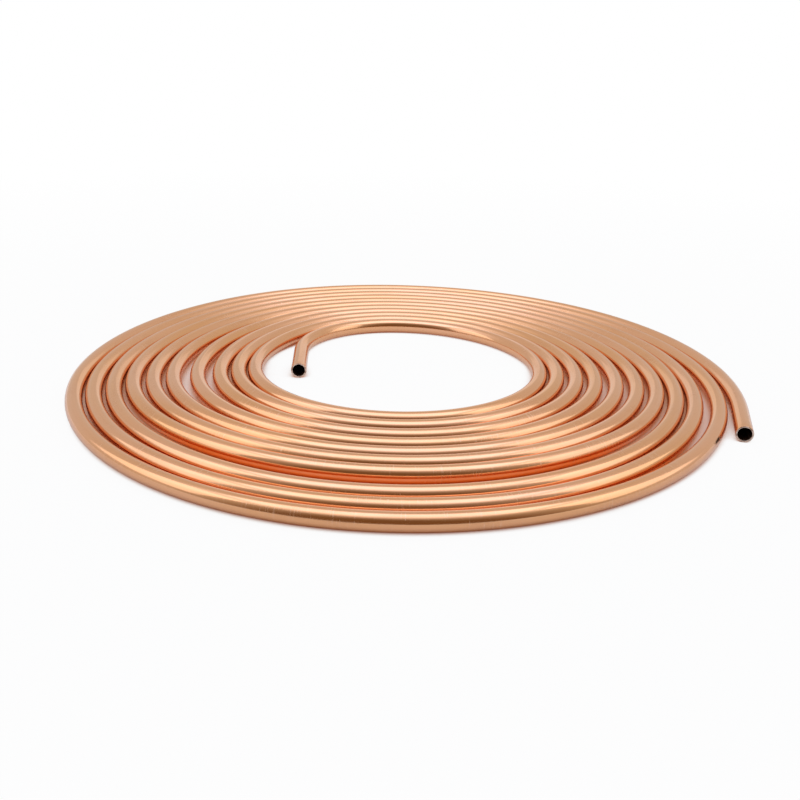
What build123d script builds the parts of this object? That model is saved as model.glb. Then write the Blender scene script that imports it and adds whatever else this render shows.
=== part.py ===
from build123d import *
import math
import os

# Driving dimensions, mm
TUBE_OD = 10.0  # outside diameter of the tube
TUBE_WALL = 1.0  # wall of the tube
EYE_BACK = 106.5  # middle of the eye to the first turn's middle line, at the back
EYE_RIGHT = 88.9  # the same on the right
EYE_FRONT = 81.0  # the same at the front
EYE_LEFT = 96.4  # the same on the left
INNER_END_OFF = 67.8  # the inner end lies this far left of the middle of the eye
INNER_STUB = 41.0  # straight run at the inner end
INNER_LEAN = 3  # degrees that this run leans left as it leads back
INNER_BEND = 60.0  # radius of the bend that takes up the lean
OUTER_STUB = 36.0  # straight run at the outer end
OUTER_BEND = 220.0  # radius of the bend before it
OUTER_TURN = 14  # degrees that this bend turns

# Gaps between neighbouring turns, from the eye outward, as shares of TUBE_OD
back_gap_shares = (0.03, 0.02, 0.02, 0.02, 0.02, 0.03, 0.04, 0.05, 0.04, 0.03)
right_gap_shares = (0.09, 0.19, 0.19, 0.28, 0.24, 0.18, 0.08, 0.06, 0.34, 0.17)
front_gap_shares = (0.19, 0.28, 0.22, 0.18, 0.11, 0.20, 1.23, 0.35, 0.36)
left_gap_shares = (0.06, 0.12, 0.38, 0.48, 0.19, 0.17, 0.06, 0.11, 0.08)

FIRST_ARC = 45  # each quarter turn is two arcs, and the first one turns this many degrees
SECOND_ARC = 90 - FIRST_ARC


def places(first, shares):
    """Distances of the turns from the middle of the eye, on one side."""
    out = [first]
    for share in shares:
        out.append(out[-1] + TUBE_OD * (1 + share))
    return out


def quarter(start, heading, along, across):
    """Two tangent arcs that turn right by a quarter, so far along the heading and across it."""
    ahead = math.sin(math.radians(FIRST_ARC))
    aside = math.cos(math.radians(FIRST_ARC))
    both = ahead + aside - 1
    first_radius = (aside * along - (1 - ahead) * across) / both
    second_radius = (ahead * across - (1 - aside) * along) / both
    first = JernArc(start=start, tangent=heading, radius=first_radius, arc_size=-FIRST_ARC)
    return JernArc(start=first @ 1, tangent=first % 1, radius=second_radius, arc_size=-SECOND_ARC)


back = places(EYE_BACK, back_gap_shares)
right = places(EYE_RIGHT, right_gap_shares)
front = places(EYE_FRONT, front_gap_shares)
left = places(EYE_LEFT, left_gap_shares)
turns = len(front)

# The turns' middle drifts evenly from the middle of the first turn to that of the last one
first_x = (right[0] - left[0]) / 2
first_y = (back[0] - front[0]) / 2
drift_x = (right[turns - 1] - left[-1]) / 2 - first_x
drift_y = (back[turns - 1] - front[-1]) / 2 - first_y

# Where the tube crosses the four sides, from the first crossing at the back
crossings = []
for n in range(4 * turns + 2):
    turn = n // 4
    middle_x = first_x + drift_x * n / (4 * turns)
    middle_y = first_y + drift_y * n / (4 * turns)
    sides = (
        (middle_x, back[turn]),
        (right[turn], middle_y),
        (middle_x, -front[min(turn, turns - 1)]),
        (-left[min(turn, turns - 1)], middle_y),
    )
    crossings.append(sides[n % 4])
headings = ((1, 0), (0, -1), (-1, 0), (0, 1))

# The outline in plan is centred on the frame, and the tube lies on its floor
mid_x = (right[-1] - left[-1]) / 2
mid_y = (back[-1] - front[-1]) / 2
inner_end = (-INNER_END_OFF - mid_x, -mid_y, TUBE_OD / 2)
lean = (-math.sin(math.radians(INNER_LEAN)), math.cos(math.radians(INNER_LEAN)), 0)
mouth = Plane(origin=inner_end, z_dir=lean)

with BuildPart() as outer_wall:
    with BuildLine() as route:
        run = PolarLine(start=inner_end, length=INNER_STUB, direction=lean)
        run = JernArc(start=run @ 1, tangent=run % 1, radius=INNER_BEND, arc_size=-INNER_LEAN)
        reach_x = crossings[0][0] - mid_x - (run @ 1).X
        reach_y = crossings[0][1] - mid_y - (run @ 1).Y
        run = quarter(run @ 1, headings[-1], reach_y, reach_x)
        for n in range(len(crossings) - 1):
            reach_x = abs(crossings[n + 1][0] - crossings[n][0])
            reach_y = abs(crossings[n + 1][1] - crossings[n][1])
            if n % 2:
                run = quarter(run @ 1, headings[n % 4], reach_y, reach_x)
            else:
                run = quarter(run @ 1, headings[n % 4], reach_x, reach_y)
        run = JernArc(start=run @ 1, tangent=run % 1, radius=OUTER_BEND, arc_size=-OUTER_TURN)
        Line(run @ 1, (run @ 1) + (run % 1) * OUTER_STUB)
    with BuildSketch(mouth):
        Circle(TUBE_OD / 2)
    sweep(path=route.wire())

with BuildPart() as inner_wall:
    with BuildSketch(mouth):
        Circle(TUBE_OD / 2 - TUBE_WALL)
    sweep(path=route.wire())

# The two walls are joined by a flat rim at each cut end
walls = [face for face in outer_wall.faces() if face.geom_type != GeomType.PLANE]
walls += [face for face in inner_wall.faces() if face.geom_type != GeomType.PLANE]
rims = []
for disc in outer_wall.faces().filter_by(GeomType.PLANE):
    hole = inner_wall.faces().filter_by(GeomType.PLANE).sort_by_distance(disc.center())[0]
    rims.append(Face(disc.outer_wire(), [hole.outer_wire()]))

with BuildPart() as copper_tube:
    add(Solid(Shell(walls + rims)))

copper_tube.part.label = "copper_tube"
os.makedirs("parts", exist_ok=True)
export_step(copper_tube.part, "parts/copper_tube.step")
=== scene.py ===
import math

import bpy
import numpy as np
from mathutils import Matrix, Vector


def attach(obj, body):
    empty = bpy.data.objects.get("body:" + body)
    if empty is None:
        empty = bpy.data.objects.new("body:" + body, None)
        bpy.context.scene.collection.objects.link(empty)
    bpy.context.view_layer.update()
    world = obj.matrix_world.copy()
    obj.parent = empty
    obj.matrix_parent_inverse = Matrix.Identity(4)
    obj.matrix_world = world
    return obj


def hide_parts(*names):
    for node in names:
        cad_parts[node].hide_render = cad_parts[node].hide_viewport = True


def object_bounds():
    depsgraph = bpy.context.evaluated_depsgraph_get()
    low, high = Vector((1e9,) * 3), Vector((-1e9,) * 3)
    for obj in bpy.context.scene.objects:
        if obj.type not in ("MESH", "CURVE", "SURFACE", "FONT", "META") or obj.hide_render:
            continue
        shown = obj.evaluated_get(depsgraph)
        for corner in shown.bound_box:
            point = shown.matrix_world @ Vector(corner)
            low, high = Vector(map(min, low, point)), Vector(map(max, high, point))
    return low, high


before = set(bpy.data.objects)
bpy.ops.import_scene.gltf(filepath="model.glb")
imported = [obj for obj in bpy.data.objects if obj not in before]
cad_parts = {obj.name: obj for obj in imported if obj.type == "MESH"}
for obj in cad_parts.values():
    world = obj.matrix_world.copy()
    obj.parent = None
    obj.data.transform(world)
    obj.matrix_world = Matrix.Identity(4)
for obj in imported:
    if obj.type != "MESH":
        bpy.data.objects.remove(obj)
cad_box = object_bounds()

MM = 0.001

# The tube and its route, mm, from the same sizes as the CAD source
TUBE_OD = 10.0  # outside diameter of the tube
TUBE_WALL = 1.0  # wall of the tube
EYE_BACK = 106.5  # middle of the eye to the first turn's middle line, at the back
EYE_RIGHT = 88.9  # the same on the right
EYE_FRONT = 81.0  # the same at the front
EYE_LEFT = 96.4  # the same on the left
INNER_END_OFF = 67.8  # the inner end lies this far left of the middle of the eye
INNER_STUB = 41.0  # straight run at the inner end
INNER_LEAN = 3  # degrees that this run leans left as it leads back
INNER_BEND = 60.0  # radius of the bend that takes up the lean
OUTER_STUB = 36.0  # straight run at the outer end
OUTER_BEND = 220.0  # radius of the bend before it
OUTER_TURN = 14  # degrees that this bend turns
FIRST_ARC = 45  # each quarter turn is two arcs, and the first one turns this many degrees
SECOND_ARC = 90 - FIRST_ARC

# Gaps between neighbouring turns, from the eye outward, as shares of TUBE_OD
back_gap_shares = (0.03, 0.02, 0.02, 0.02, 0.02, 0.03, 0.04, 0.05, 0.04, 0.03)
right_gap_shares = (0.09, 0.19, 0.19, 0.28, 0.24, 0.18, 0.08, 0.06, 0.34, 0.17)
front_gap_shares = (0.19, 0.28, 0.22, 0.18, 0.11, 0.20, 1.23, 0.35, 0.36)
left_gap_shares = (0.06, 0.12, 0.38, 0.48, 0.19, 0.17, 0.06, 0.11, 0.08)

# How finely the tube is meshed
SIDES = 36  # around the tube
STEP_DEGREES = 2.0  # along its arcs
STRAIGHT_STEPS = 6  # along a straight run
BORE_STEP = 3  # the bore has one ring for this many rings outside

# A cut end from its bore to its outside: how far back from the cut, and how far off the wall, mm
CUT_INSIDE = ((0.25, 0.0), (0.06, 0.04), (0.0, 0.14))
CUT_OUTSIDE = ((0.0, 0.24), (0.05, 0.10), (0.16, 0.03), (0.40, 0.0))

# The order of the tube's materials
SKIN, BORE, CUT = 0, 1, 2

# How fine the copper's marks are: waves to a metre across the tube, up it and along it
DRAW_LINES = (1400, 1400, 9)
MARKS = (140, 140, 30)
PATCHES = (70, 70, 9)
RUBS = (110, 110, 1600)
BORE_STREAKS = (700, 700, 20)
SAW_LINES = (500, 4000, 500)
SMEARS = (260, 420, 300)

# The copper's tones
CLEAN = (0.94, 0.505, 0.295, 1.0)
WARM = (0.92, 0.475, 0.23, 1.0)
DULL = (0.83, 0.42, 0.22, 1.0)
BARE = (0.96, 0.60, 0.41, 1.0)
# Painted shade: the bore's tones are dull oxidised copper darkened near black, as the shade deep in the
# tube
BORE_TONES_WITH_PAINTED_SHADE = ((0.06, 0.03, 0.02, 1.0), (0.14, 0.07, 0.045, 1.0))
CUT_TONES = ((0.74, 0.53, 0.42, 1.0), (0.95, 0.80, 0.68, 1.0))
SMEARED = (0.30, 0.18, 0.12, 1.0)

# The photograph's camera, mm and degrees
CAMERA_AT = (-7.3, -590.5, 212.1)
CAMERA_PITCH = 21.06
CAMERA_YAW = 0.34
CAMERA_ROLL = 1.47
CAMERA_LENS = 43.2
SENSOR_WIDTH = 36

# Lamps: a softbox overhead, a panel on each side and a pale card behind the coil, metres and watts
SOFTBOX_SIZE = (2.6, 1.5)
SOFTBOX_AT = (0.0, 0.05, 2.4)
SOFTBOX_WATTS = 6.6
SOFTBOX_TINT = (0.90, 1.02, 1.50)
PANEL_SIZE = (0.75, 0.6)
PANEL_AT = (0.7, -0.16, 0.56)
PANEL_WATTS = 0.85
CARD_SIZE = (0.5, 0.36)
CARD_AT = (0.0, 0.9, 0.21)
CARD_WATTS = 0.1
PALE_TINT = (0.95, 1.0, 1.1)

# The surround: an oval glow overhead, grey behind the coil and dim towards the camera
GLOW = (1.07, 1.14, 1.30, 1.0)
GLOW_REACH = (0.90, 0.56)  # half its width and depth, as shares of the sky's radius
GLOW_BACK = 0.03  # its middle lies this far back
GLOW_FADE = (1.1, 0.5)  # from no glow to all of it, as shares of its reach
SURROUND_BACK = (0.635, 0.625, 0.60, 1.0)
SURROUND_FRONT = (0.185, 0.118, 0.062, 1.0)
FRONT_FADE = (-0.80, -0.22)  # from the front to the back, along Y

# The floor, metres
FLOOR_SIDE = 30.0
FLOOR_TONE = (0.75, 0.745, 0.74, 1.0)
WHITE = (1.0, 1.0, 1.0, 1.0)
WHITE_REACH = (0.25, 1.0)  # its white comes up to full between these distances from the middle
MIRROR_REACH = (-0.1, 0.5)  # the copper mirrors more of that white from front to back, along Y

# The copper's glow on the floor, painted into its colour and its white as painted bounce light and painted
# shade, metres
SHADE_REACH = 0.025  # how far from the tube the floor is shaded
SHADE_SAMPLES = 8
SHADE_SPAN = (0.15, 0.65)  # how open the floor is where the glow is full, and where it ends
WHITE_SPAN = (0.20, 0.70)  # the same for the loss of white
FRONT_SHADE = (1.0, 0.33, 0.07, 1.0)  # between the front turns
SIDE_SHADE = (1.0, 0.42, 0.17, 1.0)  # elsewhere
SEEN_SHADE = (0.85, 0.58, 0.43, 1.0)  # mixed in for the camera, which sees the glow paler
SEEN_SHARE = 0.6
FRONT_SHINE = (0.5, 0.16, 0.04, 1.0)  # the glow in the floor's white, between the front turns
SIDE_SHINE = (0.62, 0.27, 0.13, 1.0)  # and elsewhere
FRONT_TURNS = (-0.13, -0.10)  # the front ends between these, along Y
FRONT_RIM = (0.18, 0.195)  # and between these distances from the middle
COIL_RIM = (0.195, 0.205)  # the outside starts between these
EYE_RIM = (0.100, 0.104)  # the eye ends between these
EYE_MIDDLE = (0.0, 0.03)  # its back half starts between these, along Y
FRONT_DEPTH = 2  # added to a depth of 1 within the coil
EYE_BACK_DEPTH = -0.6  # added there too
OUTSIDE_DEPTH = 0.5


def places(first, shares):
    """Distances of the turns from the middle of the eye, on one side."""
    out = [first]
    for share in shares:
        out.append(out[-1] + TUBE_OD * (1 + share))
    return out


class Route:
    """The tube's middle line: points, headings and distances along it, in plan, mm."""

    def __init__(self, start, heading):
        self.points = [np.array(start, float)]
        self.headings = [np.array(heading, float)]
        self.along = [0.0]

    def straight(self, length):
        start, heading, along = self.points[-1], self.headings[-1], self.along[-1]
        for share in np.arange(1, STRAIGHT_STEPS + 1) / STRAIGHT_STEPS:
            self.points.append(start + heading * length * share)
            self.headings.append(heading)
            self.along.append(along + length * share)

    def arc(self, radius, degrees):
        """An arc that turns right."""
        start, heading, along = self.points[-1], self.headings[-1], self.along[-1]
        right = np.array((heading[1], -heading[0]))
        steps = math.ceil(degrees / STEP_DEGREES)
        for turn in math.radians(degrees) * np.arange(1, steps + 1) / steps:
            self.points.append(start + radius * (right * (1 - math.cos(turn)) + heading * math.sin(turn)))
            self.headings.append(heading * math.cos(turn) + right * math.sin(turn))
            self.along.append(along + radius * turn)

    def quarter(self, reach_along, reach_across):
        """Two tangent arcs that turn right by a quarter."""
        ahead = math.sin(math.radians(FIRST_ARC))
        aside = math.cos(math.radians(FIRST_ARC))
        both = ahead + aside - 1
        self.arc((aside * reach_along - (1 - ahead) * reach_across) / both, FIRST_ARC)
        self.arc((ahead * reach_across - (1 - aside) * reach_along) / both, SECOND_ARC)

    def ring(self, n, back, radius):
        """A ring of the tube at a point of the route, or so far back from the cut at one of its ends."""
        step = back if n == 0 else -back
        return self.points[n] + self.headings[n] * step, self.headings[n], self.along[n] + step, radius


def tube_route():
    """The spiral from its inner end to its outer end, as the CAD source lays it out."""
    back = places(EYE_BACK, back_gap_shares)
    right = places(EYE_RIGHT, right_gap_shares)
    front = places(EYE_FRONT, front_gap_shares)
    left = places(EYE_LEFT, left_gap_shares)
    turns = len(front)

    # The turns' middle drifts evenly from the middle of the first turn to that of the last one
    first_x = (right[0] - left[0]) / 2
    first_y = (back[0] - front[0]) / 2
    drift_x = (right[turns - 1] - left[-1]) / 2 - first_x
    drift_y = (back[turns - 1] - front[-1]) / 2 - first_y

    # Where the tube crosses the four sides, from the first crossing at the back
    crossings = []
    for n in range(4 * turns + 2):
        turn = n // 4
        middle_x = first_x + drift_x * n / (4 * turns)
        middle_y = first_y + drift_y * n / (4 * turns)
        sides = (
            (middle_x, back[turn]),
            (right[turn], middle_y),
            (middle_x, -front[min(turn, turns - 1)]),
            (-left[min(turn, turns - 1)], middle_y),
        )
        crossings.append(sides[n % 4])

    # The outline in plan is centred on the frame
    mid_x = (right[-1] - left[-1]) / 2
    mid_y = (back[-1] - front[-1]) / 2
    lean = math.radians(INNER_LEAN)
    route = Route((-INNER_END_OFF - mid_x, -mid_y), (-math.sin(lean), math.cos(lean)))
    route.straight(INNER_STUB)
    route.arc(INNER_BEND, INNER_LEAN)
    reach_x = crossings[0][0] - mid_x - route.points[-1][0]
    reach_y = crossings[0][1] - mid_y - route.points[-1][1]
    route.quarter(reach_y, reach_x)
    for n in range(len(crossings) - 1):
        reach_x = abs(crossings[n + 1][0] - crossings[n][0])
        reach_y = abs(crossings[n + 1][1] - crossings[n][1])
        if n % 2:
            route.quarter(reach_y, reach_x)
        else:
            route.quarter(reach_x, reach_y)
    route.arc(OUTER_BEND, OUTER_TURN)
    route.straight(OUTER_STUB)
    return route


def tube_rings(route):
    """Rings from the inner cut along the outside to the outer cut, and back along the bore.

    The second value is the ring that the bore starts at.
    """
    outside = TUBE_OD / 2
    bore = outside - TUBE_WALL
    length = route.along[-1]
    cut_outside = CUT_OUTSIDE[-1][0]
    cut_inside = CUT_INSIDE[0][0]
    last = len(route.along) - 1

    rings = [route.ring(0, back, bore + off) for back, off in CUT_INSIDE]
    rings += [route.ring(0, back, outside - off) for back, off in CUT_OUTSIDE]
    for n, place in enumerate(route.along):
        if cut_outside < place < length - cut_outside:
            rings.append(route.ring(n, 0, outside))
    rings += [route.ring(last, back, outside - off) for back, off in reversed(CUT_OUTSIDE)]
    rings += [route.ring(last, back, bore + off) for back, off in reversed(CUT_INSIDE)]
    bore_start = len(rings) - 1
    for n in range(last, -1, -BORE_STEP):
        if cut_inside < route.along[n] < length - cut_inside:
            rings.append(route.ring(n, 0, bore))
    return rings, bore_start


def tube_mesh(route):
    """One closed mesh of the tube. Its attribute 'straight' unbends the tube for the materials."""
    rings, bore_start = tube_rings(route)
    centres = np.array([ring[0] for ring in rings])
    headings = np.array([ring[1] for ring in rings])
    place = np.array([ring[2] for ring in rings])
    radius = np.array([ring[3] for ring in rings])
    turn = 2 * math.pi * np.arange(SIDES) / SIDES - math.pi / 2
    sideways = radius[:, None] * np.cos(turn)
    upward = radius[:, None] * np.sin(turn)
    x = centres[:, :1] + headings[:, 1:] * sideways
    y = centres[:, 1:] - headings[:, :1] * sideways
    z = TUBE_OD / 2 + upward
    verts = np.stack([x, y, z], axis=-1).reshape(-1, 3) * MM
    unbent = np.stack([sideways, upward, np.broadcast_to(place[:, None], x.shape)], axis=-1)

    count = len(rings)
    ring = np.arange(count)[:, None] * SIDES
    following = (np.arange(count)[:, None] + 1) % count * SIDES
    side = np.arange(SIDES)[None, :]
    beside = (side + 1) % SIDES
    faces = np.stack([ring + side, following + side, following + beside, ring + beside], axis=-1)

    mesh = bpy.data.meshes.new("copper_tube_fine")
    mesh.from_pydata(verts.tolist(), [], faces.reshape(-1, 4).tolist())
    mesh.attributes.new("straight", "FLOAT_VECTOR", "POINT").data.foreach_set(
        "vector", (unbent.reshape(-1, 3) * MM).ravel()
    )
    cut_strips = len(CUT_INSIDE) + 1
    skin = np.full((count, SIDES), SKIN, np.int32)
    skin[bore_start:] = BORE
    skin[:cut_strips] = CUT
    skin[bore_start - cut_strips : bore_start] = CUT
    mesh.polygons.foreach_set("material_index", skin.ravel())
    mesh.shade_smooth()
    mesh.update()
    return mesh


class Graph:
    """The nodes of a material or a world, with short calls that add and link them."""

    def __init__(self, tree):
        self.nodes = tree.nodes
        self.links = tree.links

    def new(self, kind):
        return self.nodes.new("ShaderNode" + kind)

    def give(self, socket, value):
        """Links a socket to another node's output, or sets its own value."""
        if isinstance(value, bpy.types.NodeSocket):
            self.links.new(value, socket)
        else:
            socket.default_value = value

    def vector_math(self, operation, first, second=None):
        node = self.new("VectorMath")
        node.operation = operation
        self.give(node.inputs[0], first)
        if second is not None:
            self.give(node.inputs[1], second)
        return node.outputs["Value" if operation == "LENGTH" else "Vector"]

    def math(self, operation, first, second):
        node = self.new("Math")
        node.operation = operation
        self.give(node.inputs[0], first)
        self.give(node.inputs[1], second)
        return node.outputs[0]

    def times(self, first, second):
        return self.math("MULTIPLY", first, second)

    def plus(self, first, second):
        return self.math("ADD", first, second)

    def ranged(self, value, span, to, how="LINEAR"):
        """Maps a span of a value to another span, and stays within it."""
        node = self.new("MapRange")
        node.interpolation_type = how
        node.inputs["From Min"].default_value, node.inputs["From Max"].default_value = span
        node.inputs["To Min"].default_value, node.inputs["To Max"].default_value = to
        self.links.new(value, node.inputs["Value"])
        return node.outputs["Result"]

    def mixed(self, factor, first, second):
        node = self.new("Mix")
        node.data_type = "RGBA"
        self.give(node.inputs[6], first)
        self.give(node.inputs[7], second)
        self.links.new(factor, node.inputs[0])
        return node.outputs[2]

    def along_y(self, vector):
        split = self.new("SeparateXYZ")
        self.links.new(vector, split.inputs[0])
        return split.outputs["Y"]

    def unbent(self):
        """A place on the tube as if the tube were straight."""
        node = self.new("Attribute")
        node.attribute_name = "straight"
        return node.outputs["Vector"]

    def noise(self, place, waves, detail, roughness=0.5):
        """Noise in the unbent tube's own space, so that it runs along the tube."""
        node = self.new("TexNoise")
        node.inputs["Scale"].default_value = 1.0
        node.inputs["Detail"].default_value = detail
        node.inputs["Roughness"].default_value = roughness
        self.links.new(self.vector_math("MULTIPLY", place, waves), node.inputs["Vector"])
        return node.outputs["Fac"]

    def bump(self, height, strength, distance, under=None):
        """A bumped normal, on top of another one where there is one under it."""
        node = self.new("Bump")
        node.inputs["Strength"].default_value = strength
        node.inputs["Distance"].default_value = distance
        self.links.new(height, node.inputs["Height"])
        if under is not None:
            self.links.new(under, node.inputs["Normal"])
        return node.outputs["Normal"]


def new_material(name):
    material = bpy.data.materials.new(name)
    material.use_nodes = True
    graph = Graph(material.node_tree)
    return material, graph, graph.nodes["Principled BSDF"]


def copper():
    """Bare drawn copper: bright satin, with draw lines along the tube, rub marks and a faint tarnish."""
    material, graph, shader = new_material("drawn_copper")
    place = graph.unbent()
    lines = graph.noise(place, DRAW_LINES, 4.0, 0.6)
    marks = graph.noise(place, MARKS, 5.0, 0.6)
    patches = graph.noise(place, PATCHES, 3.0)
    rubs = graph.noise(place, RUBS, 2.0)
    worn = graph.ranged(marks, (0.45, 0.65), (0, 1))
    rubbed = graph.times(graph.ranged(rubs, (0.60, 0.68), (0, 1)), worn)

    # Each mark: where it fades in, how strong it gets and its tone
    tone = CLEAN
    for mark, span, most, mark_tone in (
        (patches, (0.35, 0.65), 1.0, WARM),
        (marks, (0.50, 0.72), 0.6, DULL),
        (lines, (0.50, 0.75), 0.5, DULL),
        (rubbed, (0.0, 1.0), 0.5, BARE),
    ):
        tone = graph.mixed(graph.ranged(mark, span, (0, most)), tone, mark_tone)
    graph.give(shader.inputs["Base Color"], tone)
    shader.inputs["Metallic"].default_value = 1.0

    # Each mark: where it fades in and how much rougher the copper gets there
    rough = graph.ranged(lines, (0.3, 0.7), (0.09, 0.17))
    for mark, span, most in ((marks, (0.45, 0.75), 0.10), (rubbed, (0.0, 1.0), 0.12)):
        rough = graph.plus(rough, graph.ranged(mark, span, (0, most)))
    graph.give(shader.inputs["Roughness"], rough)

    fine = graph.bump(lines, 0.35, 0.04 * MM)
    graph.give(shader.inputs["Normal"], graph.bump(patches, 0.5, 0.2 * MM, fine))
    return material


def bore_copper():
    """The unpolished inside of the tube, dull oxidised copper, with its tones darkened near black as
    painted shade in the bore.
    """
    material, graph, shader = new_material("dull_bore_with_painted_shade")
    streaks = graph.noise(graph.unbent(), BORE_STREAKS, 4.0)
    # Painted shade: these near-black streaked tones stand for the shade deep in the bore, on dull oxidised
    # copper
    graph.give(shader.inputs["Base Color"], graph.mixed(streaks, *BORE_TONES_WITH_PAINTED_SHADE))
    shader.inputs["Metallic"].default_value = 0.7
    shader.inputs["Roughness"].default_value = 0.55
    return material


def cut_copper():
    """The sawn faces at the two ends: paler and rougher than the drawn skin, with dark smears."""
    material, graph, shader = new_material("cut_copper")
    place = graph.unbent()
    saw = graph.noise(place, SAW_LINES, 3.0)
    smears = graph.noise(place, SMEARS, 2.0)
    tone = graph.mixed(saw, *CUT_TONES)
    tone = graph.mixed(graph.ranged(smears, (0.48, 0.62), (0, 0.85)), tone, SMEARED)
    graph.give(shader.inputs["Base Color"], tone)
    shader.inputs["Metallic"].default_value = 1.0
    shader.inputs["Roughness"].default_value = 0.45
    graph.give(shader.inputs["Normal"], graph.bump(saw, 0.4, 0.05 * MM))
    return material


def copper_tube():
    mesh = tube_mesh(tube_route())
    for material in (copper(), bore_copper(), cut_copper()):
        mesh.materials.append(material)
    tube = bpy.data.objects.new("copper_tube_fine", mesh)
    bpy.context.collection.objects.link(tube)
    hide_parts("copper_tube")
    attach(tube, "root")


def floor():
    """A white floor that stays white to the camera and keeps the coil's soft shadow, with painted shade
    and the copper's painted glow near the tube.
    """
    bpy.ops.mesh.primitive_plane_add(size=FLOOR_SIDE, location=(0, 0, cad_box[0][2]))
    plane = bpy.context.object
    plane.name = "studio_floor"
    material, graph, shader = new_material("studio_white")
    shader.inputs["Roughness"].default_value = 0.9
    shader.inputs["Specular IOR Level"].default_value = 0.1
    place = graph.new("NewGeometry").outputs["Position"]
    y = graph.along_y(place)
    away = graph.vector_math("LENGTH", place)
    path = graph.new("LightPath").outputs
    near = graph.new("AmbientOcclusion")
    near.samples = SHADE_SAMPLES
    near.inputs["Distance"].default_value = SHADE_REACH

    # The floor lies deepest in the copper's glow between the front turns, and least deep outside the
    # coil and at the back of the eye
    front = graph.ranged(y, FRONT_TURNS, (1, 0))
    deep = graph.times(front, graph.ranged(away, FRONT_RIM, (FRONT_DEPTH, 0)))
    eye = graph.ranged(away, EYE_RIM, (EYE_BACK_DEPTH, 0))
    eye_back = graph.times(eye, graph.ranged(y, EYE_MIDDLE, (0, 1)))
    depth = graph.plus(deep, graph.ranged(away, COIL_RIM, (1, OUTSIDE_DEPTH)))
    depth = graph.plus(depth, eye_back)
    opened = graph.math("POWER", near.outputs["AO"], depth)
    bounced = graph.ranged(opened, SHADE_SPAN, (0, 1))

    # The floor's colour with the copper's glow painted in by closeness and place, which the lamps then
    # light
    shade = graph.mixed(front, SIDE_SHADE, FRONT_SHADE)
    shade = graph.mixed(graph.ranged(path["Is Camera Ray"], (0, 1), (0, SEEN_SHARE)), shade, SEEN_SHADE)
    graph.give(shader.inputs["Base Color"], graph.mixed(bounced, shade, FLOOR_TONE))

    # The white that the camera sees and the copper mirrors, with less of it in the shade and near the coil
    # as painted shade, and the copper's glow painted into it
    white = graph.new("Emission")
    shine = graph.mixed(front, SIDE_SHINE, FRONT_SHINE)
    graph.give(white.inputs["Color"], graph.mixed(bounced, shine, WHITE))
    keep = graph.ranged(opened, WHITE_SPAN, (0.35, 1))
    keep = graph.times(keep, graph.ranged(away, WHITE_REACH, (0.94, 1)))
    mirrored = graph.times(path["Is Glossy Ray"], graph.ranged(y, MIRROR_REACH, (0.1, 0.9)))
    seen = graph.plus(path["Is Camera Ray"], mirrored)
    seen = graph.plus(seen, path["Is Transmission Ray"])
    blend = graph.new("MixShader")
    graph.give(blend.inputs[0], graph.times(keep, seen))
    graph.give(blend.inputs[1], shader.outputs[0])
    graph.give(blend.inputs[2], white.outputs[0])
    graph.give(graph.nodes["Material Output"].inputs["Surface"], blend.outputs[0])
    plane.data.materials.append(material)


def surround():
    """A glow overhead, grey behind the coil and dim in front of it, and plain white to the camera."""
    world = bpy.data.worlds.new("studio")
    bpy.context.scene.world = world
    world.use_nodes = True
    graph = Graph(world.node_tree)
    direction = graph.new("TexCoord").outputs["Generated"]
    front_to_back = graph.ranged(graph.along_y(direction), FRONT_FADE, (0, 1))
    tone = graph.mixed(front_to_back, SURROUND_FRONT, SURROUND_BACK)
    centred = graph.vector_math("SUBTRACT", direction, (0, GLOW_BACK, 0))
    shares = graph.vector_math("MULTIPLY", centred, (1 / GLOW_REACH[0], 1 / GLOW_REACH[1], 0))
    glow = graph.ranged(graph.vector_math("LENGTH", shares), GLOW_FADE, (0, 1), "SMOOTHSTEP")
    tone = graph.mixed(glow, tone, GLOW)
    seen = graph.mixed(graph.new("LightPath").outputs["Is Camera Ray"], tone, WHITE)
    graph.give(graph.nodes["Background"].inputs["Color"], seen)


def area_light(name, size, place, watts, tint, turn=(0, 0, 0)):
    """A rectangle of soft light that faces down, unless it is turned by so many degrees."""
    lamp = bpy.data.lights.new(name, "AREA")
    lamp.shape = "RECTANGLE"
    lamp.size, lamp.size_y = size
    lamp.energy = watts
    lamp.color = tint
    light = bpy.data.objects.new(name, lamp)
    light.location = place
    light.rotation_euler = [math.radians(angle) for angle in turn]
    light.visible_camera = False
    bpy.context.collection.objects.link(light)


def lights():
    area_light("softbox", SOFTBOX_SIZE, SOFTBOX_AT, SOFTBOX_WATTS, SOFTBOX_TINT)
    area_light("back_card", CARD_SIZE, CARD_AT, CARD_WATTS, PALE_TINT, (-90, 0, 0))
    x, y, z = PANEL_AT
    area_light("left_panel", PANEL_SIZE, (-x, y, z), PANEL_WATTS, PALE_TINT, (0, -90, 0))
    area_light("right_panel", PANEL_SIZE, (x, y, z), PANEL_WATTS, PALE_TINT, (0, 90, 0))


def camera():
    lens = bpy.data.cameras.new("camera")
    lens.lens = CAMERA_LENS
    lens.sensor_width = SENSOR_WIDTH
    eye = bpy.data.objects.new("camera", lens)
    turn = (
        Matrix.Rotation(-math.radians(CAMERA_YAW), 4, "Z")
        @ Matrix.Rotation(math.radians(90 - CAMERA_PITCH), 4, "X")
        @ Matrix.Rotation(math.radians(CAMERA_ROLL), 4, "Z")
    )
    eye.matrix_world = Matrix.Translation([place * MM for place in CAMERA_AT]) @ turn
    bpy.context.collection.objects.link(eye)
    bpy.context.scene.camera = eye


copper_tube()
floor()
surround()
lights()
camera()
bpy.context.scene.view_settings.view_transform = "Standard"
